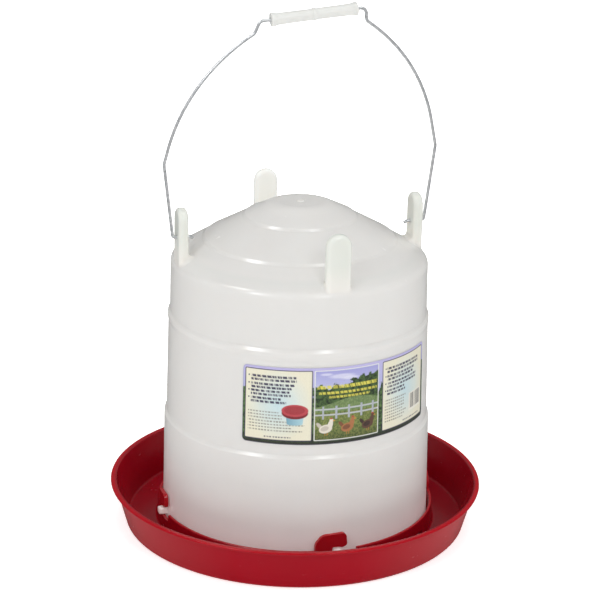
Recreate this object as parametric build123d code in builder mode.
from build123d import *
import math
import os

os.makedirs("parts", exist_ok=True)

# Poultry waterer fount: a translucent bell-shaped water tank twist-locked into
# a red drinking pan, carried by a wire bail with a loose grip, filled through
# a screw plug in the underside of the pan.
# Millimetres, +Z up, origin on the axis in the plane the pan stands on.
# -Y is the side with the lock hook in the middle of the sticker; +X and -X are
# the two tank feet that carry the bail.

# ---------------------------------------------------------------- pan sizes
RIM_R = 203.0            # outside of the rolled lip
RIM_Z = 47.2             # top of the lip
LIP_T = 2.5              # lip thickness
PAN_FOOT_R = 186.0       # outside of the wall at the ground
PAN_TOP_R = 198.2        # outside of the wall under the lip
PAN_T = 2.6              # pan wall
STAND_R_IN = 152.0       # inside of the flat ring the pan stands on
FLOOR_Z = 2.8            # trough floor
COLLAR_R_OUT = 151.3     # collar round the tank mouth
COLLAR_R_IN = 148.3
COLLAR_Z = 24.9
SEAT_Z = 6.0             # channel the tank rim stands in
SEAT_R_IN = 138.5
DECK_Z = 22.0            # raised middle, over the plug recess
DECK_T = 2.8
PAD_H = 2.0              # pads that hold the tank rim off the channel

# ---------------------------------------------------------------- twist lock
LOCKS = 4
HOOK_R_IN = 146.8
HOOK_X0 = -24.4          # stem, along the tangent at the hook
HOOK_X1 = 10.3           # free end of the arm
HOOK_TOP = 43.6
ARM_Z = 28.3             # underside of the arm
NOTCH_X0 = -5.6
NOTCH_X1 = 21.6
NOTCH_Z = 17.6
LUG_W = 8.8
LUG_Z0, LUG_Z1 = 18.2, 26.0
LUG_R = 155.3

# ---------------------------------------------------------------- tank sizes
TANK_T = 2.2             # blown wall
TANK_Z0 = 8.1            # mouth rim
FOOT_R = 129.8           # middle of the four standing feet
FOOT_T = 10.8
FOOT_W = 26.4
FOOT_TOP = 362.8
PIVOT_Z = 331.0          # bail holes
OUTLET_W, OUTLET_TOP = 14.0, 20.0

# ---------------------------------------------------------------- bail sizes
WIRE_D = 3.5
HOLE_D = 3.66
BAIL_LEAN = 7.3          # degrees the bail leans toward -Y as it stands
GRIP_L = 92.0
GRIP_BORE = 3.7

# ---------------------------------------------------------------- plug sizes
PLUG_X, PLUG_Y = 62.0, 0.0
PITCH = 4.0
PLUG_ROOT_R = 26.5
PLUG_CREST_R = 28.0
BORE_R = 28.3
BORE_RIB_R = 26.95
BOSS_R = 32.4
BOSS_TOP = 33.0
FLANGE_R = 36.0

# ---------------------------------------------------------------- sticker
LABEL_T = 0.25
LABEL_A0, LABEL_A1 = -40.8, 52.4     # degrees from -Y, positive toward +X
LABEL_Z0, LABEL_Z1 = 141.0, 224.8


def rounded(points, radii):
    """Points of a tangent path: straight runs joined by arcs of given radii.

    Returns a list of ("line", p, q) and ("arc", p, m, q) pieces in 2-D.
    """
    out = []
    last = points[0]
    for i in range(1, len(points) - 1):
        r = radii[i]
        a, b, c = points[i - 1], points[i], points[i + 1]
        ux, uy = a[0] - b[0], a[1] - b[1]
        vx, vy = c[0] - b[0], c[1] - b[1]
        lu, lv = math.hypot(ux, uy), math.hypot(vx, vy)
        ux, uy, vx, vy = ux / lu, uy / lu, vx / lv, vy / lv
        inner = math.acos(max(-1.0, min(1.0, ux * vx + uy * vy)))
        if r <= 0 or abs(math.pi - inner) < 1e-4:
            if math.hypot(b[0] - last[0], b[1] - last[1]) > 1e-6:
                out.append(("line", last, b))
            last = b
            continue
        cut = r / math.tan(inner / 2)
        p = (b[0] + ux * cut, b[1] + uy * cut)
        q = (b[0] + vx * cut, b[1] + vy * cut)
        hx, hy = ux + vx, uy + vy
        lh = math.hypot(hx, hy)
        reach = r / math.sin(inner / 2) - r
        m = (b[0] + hx / lh * reach, b[1] + hy / lh * reach)
        if math.hypot(p[0] - last[0], p[1] - last[1]) > 1e-4:
            out.append(("line", last, p))
        out.append(("arc", p, m, q))
        last = q
    if math.hypot(points[-1][0] - last[0], points[-1][1] - last[1]) > 1e-4:
        out.append(("line", last, points[-1]))
    return out


def draw(pieces):
    """Draw the pieces inside an open BuildLine block."""
    for piece in pieces:
        if piece[0] == "line":
            Line(piece[1], piece[2])
        else:
            ThreePointArc(piece[1], piece[2], piece[3])


def profile(rows):
    """Closed outline from rows of (r, z, corner radius)."""
    pts = [(a, b) for a, b, _ in rows]
    rad = [c for _, _, c in rows]
    return rounded(pts + [pts[0]], rad + [0])


# ================================================================ base pan
slope = (PAN_TOP_R - PAN_FOOT_R) / (RIM_Z - LIP_T)
in_low = PAN_FOOT_R - PAN_T + slope * FLOOR_Z
in_top = PAN_TOP_R - PAN_T + slope * LIP_T
pan_rows = [
    (0.0, DECK_Z, 0),
    (0.0, DECK_Z - DECK_T, 0),
    (133.6, DECK_Z - DECK_T, 3.0),
    (135.6, SEAT_Z - 2.8, 3.0),
    (149.0, SEAT_Z - 2.8, 1.2),
    (STAND_R_IN, 0.0, 0.8),
    (PAN_FOOT_R, 0.0, 4.6),
    (PAN_TOP_R, RIM_Z - LIP_T - 0.6, 0.9),
    (RIM_R, RIM_Z - LIP_T, 1.0),
    (RIM_R, RIM_Z, 1.3),
    (in_top + 0.6, RIM_Z, 1.4),
    (in_low, FLOOR_Z, 3.0),
    (152.3, FLOOR_Z, 2.2),
    (COLLAR_R_OUT, COLLAR_Z, 1.1),
    (COLLAR_R_IN, COLLAR_Z, 0.9),
    (COLLAR_R_IN, SEAT_Z, 1.2),
    (SEAT_R_IN, SEAT_Z, 1.2),
    (SEAT_R_IN - 2.0, DECK_Z, 3.0),
]
with BuildPart() as base_pan:
    with BuildSketch(Plane.XZ):
        with BuildLine():
            draw(profile(pan_rows))
        make_face()
    revolve(axis=Axis.Z)

    # hook plates, drawn on the tangent plane and trimmed to a curved wall
    with BuildPart(mode=Mode.PRIVATE) as hook_wall:
        with BuildSketch(Plane.XY.offset(COLLAR_Z - 6.0)):
            Circle(COLLAR_R_OUT)
            Circle(HOOK_R_IN, mode=Mode.SUBTRACT)
        extrude(amount=40.0)
    hook_rows = [
        (HOOK_X0, COLLAR_Z - 4.0, 0),
        (HOOK_X0 + 0.6, HOOK_TOP - 11.0, 10.0),
        (HOOK_X0 + 8.0, HOOK_TOP - 1.5, 10.0),
        (HOOK_X1 - 1.0, HOOK_TOP, 5.0),
        (HOOK_X1 + 0.6, ARM_Z + 1.0, 3.6),
        (HOOK_X1 - 5.2, ARM_Z - 1.05, 1.2),
        (HOOK_X1 - 9.4, ARM_Z, 1.2),
        (NOTCH_X0, ARM_Z, 1.4),
        (NOTCH_X0, COLLAR_Z - 4.0, 0),
    ]
    with BuildPart(mode=Mode.PRIVATE) as hook:
        with BuildSketch(Plane.XZ.offset(COLLAR_R_OUT + 4.0)):
            with BuildLine():
                draw(profile(hook_rows))
            make_face()
        extrude(amount=-22.0)
        add(hook_wall.part, mode=Mode.INTERSECT)
        fillet(hook.faces().filter_by(GeomType.CYLINDER).sort_by(SortBy.AREA)[-1].edges(), 0.7)
    with PolarLocations(0, LOCKS):
        add(hook.part)

    # notches in the collar that let the tank lugs in beside each hook
    with BuildPart(mode=Mode.PRIVATE) as notch:
        with BuildSketch(Plane.XZ.offset(COLLAR_R_OUT + 6.0)):
            with BuildLine():
                draw(profile([
                    (NOTCH_X0, NOTCH_Z, 2.0),
                    (NOTCH_X1, NOTCH_Z, 2.0),
                    (NOTCH_X1, COLLAR_Z + 1.0, 0),
                    (NOTCH_X0, COLLAR_Z + 1.0, 0),
                ]))
            make_face()
        extrude(amount=-14.0)
    with PolarLocations(0, LOCKS):
        add(notch.part, mode=Mode.SUBTRACT)

    # water outlets through the collar, between the hooks
    with BuildPart(mode=Mode.PRIVATE) as outlet:
        with BuildSketch(Plane.XZ.offset(COLLAR_R_OUT + 6.0)):
            with Locations((0, SEAT_Z + 3.2)):
                RectangleRounded(16.0, 6.4, 2.4)
        extrude(amount=-14.0)
    with PolarLocations(0, LOCKS, start_angle=45):
        add(outlet.part, mode=Mode.SUBTRACT)

    # pads that keep the tank rim off the channel floor
    with BuildPart(mode=Mode.PRIVATE) as pad:
        with BuildSketch(Plane.XY.offset(SEAT_Z - 0.5)):
            with Locations((0, -(SEAT_R_IN + COLLAR_R_IN) / 2)):
                RectangleRounded(5.0, COLLAR_R_IN - SEAT_R_IN - 2.8, 1.2)
        extrude(amount=PAD_H + 0.5)
    with PolarLocations(0, 8, start_angle=22.5):
        add(pad.part)

    # threaded filling neck in the raised deck
    with BuildSketch(Plane.XY.offset(DECK_Z - DECK_T)):
        with Locations((PLUG_X, PLUG_Y)):
            Circle(BOSS_R)
    extrude(amount=BOSS_TOP - DECK_Z + DECK_T)
    with BuildSketch(Plane.XY.offset(DECK_Z - DECK_T - 1)):
        with Locations((PLUG_X, PLUG_Y)):
            Circle(BORE_R)
    extrude(amount=30.0, mode=Mode.SUBTRACT)
    # stiffening ribs under the deck
    with BuildPart(mode=Mode.PRIVATE) as rib:
        with BuildSketch(Plane.XY.offset(DECK_Z - DECK_T - 7.0)):
            with Locations((0, -121.0)):
                Rectangle(2.2, 26.0)
        extrude(amount=7.4)
        chamfer(rib.edges().filter_by(Axis.X).group_by(Axis.Z)[0].sort_by(Axis.Y)[-1], 6.0)
    with PolarLocations(0, 12, start_angle=15):
        add(rib.part)


def thread(radius_root, radius_crest, z_from, turns, wide, narrow):
    """Helical rib between two radii about the filling-neck axis."""
    with BuildPart() as t:
        with BuildLine() as path:
            Helix(pitch=PITCH, height=PITCH * turns, radius=radius_root)
        with BuildSketch(Plane(origin=path.line @ 0, x_dir=(1, 0, 0), z_dir=path.line % 0)):
            h = radius_crest - radius_root
            over = math.copysign(0.35, h)
            flare = (wide - narrow) / 2 * abs(over / h)
            with BuildLine():
                Polyline((-over, -wide / 2 - flare), (-over, wide / 2 + flare),
                         (h, narrow / 2), (h, -narrow / 2), close=True)
            make_face()
        sweep(path=path.line, is_frenet=True)
    return t.part.moved(Location((PLUG_X, PLUG_Y, z_from)))


neck_thread = thread(BORE_R, BORE_RIB_R, 22.6, 2.0, 1.7, 1.1)
with BuildPart() as pan_done:
    add(base_pan.part)
    add(neck_thread)
base_pan = pan_done
base_pan.part.label = "base_pan"
export_step(base_pan.part, "parts/base_pan.step")
print("base_pan", len(base_pan.part.solids()), round(base_pan.part.volume))

# ============================================================== fill plug
with BuildPart() as fill_plug:
    with BuildSketch(Plane.XZ.offset(-PLUG_Y)):
        with BuildLine():
            draw(profile([
                (PLUG_X, 3.2, 0),
                (PLUG_X + 24.6, 3.2, 2.4),
                (PLUG_X + 25.6, 13.7, 1.0),
                (PLUG_X + FLANGE_R, 13.9, 1.0),
                (PLUG_X + FLANGE_R, 17.1, 0.8),
                (PLUG_X + PLUG_ROOT_R, 17.1, 0.5),
                (PLUG_X + PLUG_ROOT_R, 31.0, 0.9),
                (PLUG_X + PLUG_ROOT_R - 2.7, 31.0, 0.6),
                (PLUG_X + PLUG_ROOT_R - 2.7, 17.0, 2.0),
                (PLUG_X + 21.4, 13.0, 2.0),
                (PLUG_X + 20.8, 6.0, 1.6),
                (PLUG_X, 6.0, 0),
            ]))
        make_face()
    revolve(axis=Axis((PLUG_X, PLUG_Y, 0), (0, 0, 1)))
    # finger flutes round the knob
    with BuildSketch(Plane.XY.offset(1.0)):
        with Locations((PLUG_X, PLUG_Y)):
            with PolarLocations(27.7, 16):
                Circle(3.6)
    extrude(amount=12.7, mode=Mode.SUBTRACT)
    # raised turning bar across the face of the knob
    with BuildSketch(Plane.XY.offset(1.4)):
        with Locations((PLUG_X, PLUG_Y)):
            RectangleRounded(36.0, 7.0, 3.0)
    extrude(amount=2.2)
    chamfer(fill_plug.faces().sort_by(Axis.Z)[0].edges(), 0.6)
    add(thread(PLUG_ROOT_R, PLUG_CREST_R, 20.6, 2.0, 1.7, 1.0))
fill_plug.part.label = "fill_plug"
export_step(fill_plug.part, "parts/fill_plug.step")

with BuildPart() as plug_gasket:
    with BuildSketch(Plane.XZ.offset(-PLUG_Y)):
        with Locations((PLUG_X + 31.5, 18.15)):
            RectangleRounded(5.2, 2.04, 0.7)
    revolve(axis=Axis((PLUG_X, PLUG_Y, 0), (0, 0, 1)))
plug_gasket.part.label = "plug_gasket"
export_step(plug_gasket.part, "parts/plug_gasket.step")


# ================================================================== tank
tank_rows = [
    (145.5, TANK_Z0, 0),
    (144.05, 125.6, 1.8),
    (141.75, 129.6, 3.4),
    (139.75, 231.5, 5.0),
    (140.35, 235.6, 4.0),
    (140.35, 239.6, 2.6),
    (138.1, 243.8, 3.6),
    (137.3, 301.0, 9.0),
    (104.4, 320.9, 3.4),
    (101.4, 323.8, 3.2),
    (61.8, 345.4, 3.4),
    (58.8, 348.2, 3.2),
    (31.0, 361.4, 34.0),
    (0.0, 361.6, 0),
]


def inset(rows, d):
    """The same path moved inward by a wall thickness, corners kept sharp."""
    pts = [(a, b) for a, b, _ in rows]
    n = len(pts)
    lines = []
    for i in range(n - 1):
        dx, dy = pts[i + 1][0] - pts[i][0], pts[i + 1][1] - pts[i][1]
        length = math.hypot(dx, dy)
        dx, dy = dx / length, dy / length
        lines.append(((pts[i][0] - dy * d, pts[i][1] + dx * d), (dx, dy)))
    out = [(lines[0][0][0], pts[0][1], 0)]
    for i in range(1, n - 1):
        (ax, ay), (ux, uy) = lines[i - 1]
        (bx, by), (vx, vy) = lines[i]
        cross = ux * vy - uy * vx
        t = ((bx - ax) * vy - (by - ay) * vx) / cross
        r = rows[i][2]
        r = max(0.8, r - d) if cross > 0 else r + d
        out.append((ax + ux * t, ay + uy * t, r))
    out.append((0.0, pts[-1][1] - d, 0))
    return out


inner_rows = inset(tank_rows, TANK_T)


def lathe(rows):
    with BuildPart() as body:
        with BuildSketch(Plane.XZ):
            with BuildLine():
                pts = [(a, b) for a, b, _ in rows] + [(0.0, rows[0][1])]
                rad = [c for _, _, c in rows] + [0]
                draw(rounded(pts + [pts[0]], rad + [0]))
            make_face()
        revolve(axis=Axis.Z)
    return body.part


tank_outer = lathe(tank_rows)
low = [(a, b - (2.0 if i == 0 else 0.0), c) for i, (a, b, c) in enumerate(inner_rows)]
tank_inner = lathe(low)

with BuildPart() as tank:
    add(tank_outer)

    # four round-topped feet the tank stands on when it is turned over
    with BuildPart(mode=Mode.PRIVATE) as foot:
        with BuildSketch(Plane.XZ.offset(FOOT_R + FOOT_T / 2)):
            with Locations((0, FOOT_TOP - FOOT_W / 2)):
                Circle(FOOT_W / 2)
            with Locations((0, (FOOT_TOP - FOOT_W / 2 + 296.0) / 2)):
                Rectangle(FOOT_W, FOOT_TOP - FOOT_W / 2 - 296.0)
        extrude(amount=-FOOT_T)
        fillet([e for f in foot.faces().filter_by(Axis.Y) for e in f.edges()
                if e.center().Z > 297.0], 4.2)
    with PolarLocations(0, LOCKS):
        add(foot.part)
    base_edges = [e for e in tank.edges(Select.LAST)
                  if 298.0 < e.center().Z < 312.5
                  and 120.0 < math.hypot(e.center().X, e.center().Y) < 137.2]
    print("foot base edges", len(base_edges))
    try:
        fillet(base_edges, 4.5)
        print("foot base fillet done")
    except Exception as err:
        print("foot base fillet failed", type(err).__name__)

    # lugs that turn under the hooks
    with BuildPart(mode=Mode.PRIVATE) as lug:
        with BuildSketch(Plane.XZ.offset(LUG_R)):
            with Locations((0, (LUG_Z0 + LUG_Z1) / 2)):
                RectangleRounded(LUG_W, LUG_Z1 - LUG_Z0, 2.4)
        extrude(amount=-(LUG_R - 142.0))
        fillet(lug.faces().sort_by(Axis.Y)[0].edges(), 1.8)
    with PolarLocations(0, LOCKS):
        add(lug.part)

    # moulding nub on the crown
    with BuildSketch(Plane.XY.offset(360.3)):
        Circle(4.3)
    extrude(amount=2.4)
    fillet(tank.faces().filter_by(GeomType.PLANE).sort_by(Axis.Z)[-1].edges(), 1.0)

    add(tank_inner, mode=Mode.SUBTRACT)

    # water outlets in the mouth rim
    with BuildPart(mode=Mode.PRIVATE) as gate:
        with BuildSketch(Plane.XZ.offset(150.0)):
            with BuildLine():
                draw(rounded([
                    (-OUTLET_W / 2, TANK_Z0 - 2.0), (-OUTLET_W / 2, OUTLET_TOP),
                    (OUTLET_W / 2, OUTLET_TOP), (OUTLET_W / 2, TANK_Z0 - 2.0),
                    (-OUTLET_W / 2, TANK_Z0 - 2.0)], [0, 5.0, 5.0, 0, 0]))
            make_face()
        extrude(amount=-14.0)
    with PolarLocations(0, LOCKS, start_angle=45):
        add(gate.part, mode=Mode.SUBTRACT)

    # bail holes through the two side feet
    with BuildSketch(Plane.YZ.offset(-(FOOT_R + FOOT_T))):
        with Locations((0, PIVOT_Z)):
            Circle(HOLE_D / 2)
    extrude(amount=2 * FOOT_T, mode=Mode.SUBTRACT)
    with BuildSketch(Plane.YZ.offset(FOOT_R - FOOT_T)):
        with Locations((0, PIVOT_Z)):
            Circle(HOLE_D / 2)
    extrude(amount=2 * FOOT_T, mode=Mode.SUBTRACT)
tank.part.label = "tank"
export_step(tank.part, "parts/tank.step")
print("tank", len(tank.part.solids()), round(tank.part.volume),
      "holds litres", round(tank_inner.volume / 1e6, 2))


# ================================================================= label
def wall_r(z):
    (r0, z0, _), (r1, z1, _) = tank_rows[2], tank_rows[3]
    return r0 + (r1 - r0) * (z - z0) / (z1 - z0)


a0 = math.radians(LABEL_A0)
with BuildPart() as label:
    with BuildSketch(Plane(origin=(0, 0, 0), x_dir=(math.sin(a0), -math.cos(a0), 0),
                           z_dir=(-math.cos(a0), -math.sin(a0), 0))):
        with BuildLine():
            Polyline((wall_r(LABEL_Z0) + 0.02, LABEL_Z0),
                     (wall_r(LABEL_Z0) + 0.02 + LABEL_T, LABEL_Z0),
                     (wall_r(LABEL_Z1) + 0.02 + LABEL_T, LABEL_Z1),
                     (wall_r(LABEL_Z1) + 0.02, LABEL_Z1), close=True)
        make_face()
    revolve(axis=Axis.Z, revolution_arc=LABEL_A1 - LABEL_A0)
    corner = [e for e in label.edges() if e.length < LABEL_T * 1.2]
    print("label corner edges", len(corner))
    fillet(corner, 4.5)
label.part.label = "label"
export_step(label.part, "parts/label.step")


# ============================================================= bail wire
lean = math.radians(BAIL_LEAN)
bail_plane = Plane(origin=(0, 0, PIVOT_Z), x_dir=(1, 0, 0),
                   z_dir=(0, -math.cos(lean), -math.sin(lean)))
GRIP_MID = (1.0, 237.7)
GRIP_SLOPE = 0.0902


def on_grip(x):
    return (x, GRIP_MID[1] + (x - GRIP_MID[0]) * GRIP_SLOPE)


bail_path = [
    ((-117.2, -1.8), 0), ((-121.4, 0.0), 3.0), ((-139.2, 0.0), 3.6),
    ((-151.0, 82.7), 12.0), ((-130.3, 174.9), 195.0), ((-61.0, 219.5), 7.0),
    (on_grip(-55.8), 5.5), (on_grip(56.6), 6.5), ((57.8, 228.7), 7.0),
    ((121.7, 184.7), 190.0), ((146.0, 86.2), 12.0), ((140.0, 0.0), 3.6),
    ((121.4, 0.0), 3.0), ((117.2, -1.8), 0),
]
with BuildPart() as bail_wire:
    with BuildLine(bail_plane) as bail_line:
        draw(rounded([p for p, _ in bail_path], [r for _, r in bail_path]))
    with BuildSketch(Plane(origin=bail_line.line @ 0, z_dir=bail_line.line % 0)):
        Circle(WIRE_D / 2)
    sweep(path=bail_line.line)
    fillet([f.edges()[0] for f in bail_wire.faces().filter_by(GeomType.PLANE)], 0.6)
bail_wire.part.label = "bail_wire"
export_step(bail_wire.part, "parts/bail_wire.step")
print("bail", len(bail_wire.part.solids()), round(bail_wire.part.volume))

# ================================================================== grip
ga = math.atan(GRIP_SLOPE)
grip_origin = bail_plane.from_local_coords((GRIP_MID[0], GRIP_MID[1], 0))
grip_dir = bail_plane.x_dir * math.cos(ga) + bail_plane.y_dir * math.sin(ga)
half = GRIP_L / 2
with BuildPart() as grip_blank:
    with BuildSketch(Plane.XZ):
        with BuildLine():
            draw(profile([
                (GRIP_BORE / 2, -half, 0.3),
                (7.1, -half, 1.2),
                (7.1, -half + 3.6, 1.6),
                (6.2, -half + 7.0, 6.0),
                (5.85, -1.9, 0.3),
                (6.6, -1.6, 0.5),
                (6.6, 1.6, 0.5),
                (5.85, 1.9, 0.3),
                (6.2, half - 7.0, 6.0),
                (7.1, half - 3.6, 1.6),
                (7.1, half, 1.2),
                (GRIP_BORE / 2, half, 0.3),
                (GRIP_BORE / 2, 0.0, 0),
            ][-1:] + [
                (GRIP_BORE / 2, -half, 0.3),
                (7.1, -half, 1.2),
                (7.1, -half + 3.6, 1.6),
                (6.2, -half + 7.0, 6.0),
                (5.85, -1.9, 0.3),
                (6.6, -1.6, 0.5),
                (6.6, 1.6, 0.5),
                (5.85, 1.9, 0.3),
                (6.2, half - 7.0, 6.0),
                (7.1, half - 3.6, 1.6),
                (7.1, half, 1.2),
                (GRIP_BORE / 2, half, 0.3),
            ]))
        make_face()
    revolve(axis=Axis.Z)
grip_place = Plane(origin=grip_origin, z_dir=grip_dir)
with BuildPart() as handle_grip:
    add(grip_blank.part.moved(grip_place.location))
handle_grip.part.label = "handle_grip"
export_step(handle_grip.part, "parts/handle_grip.step")
print("grip", len(handle_grip.part.solids()), round(handle_grip.part.volume),
      "axis", tuple(round(v, 5) for v in grip_origin), tuple(round(v, 6) for v in grip_dir))
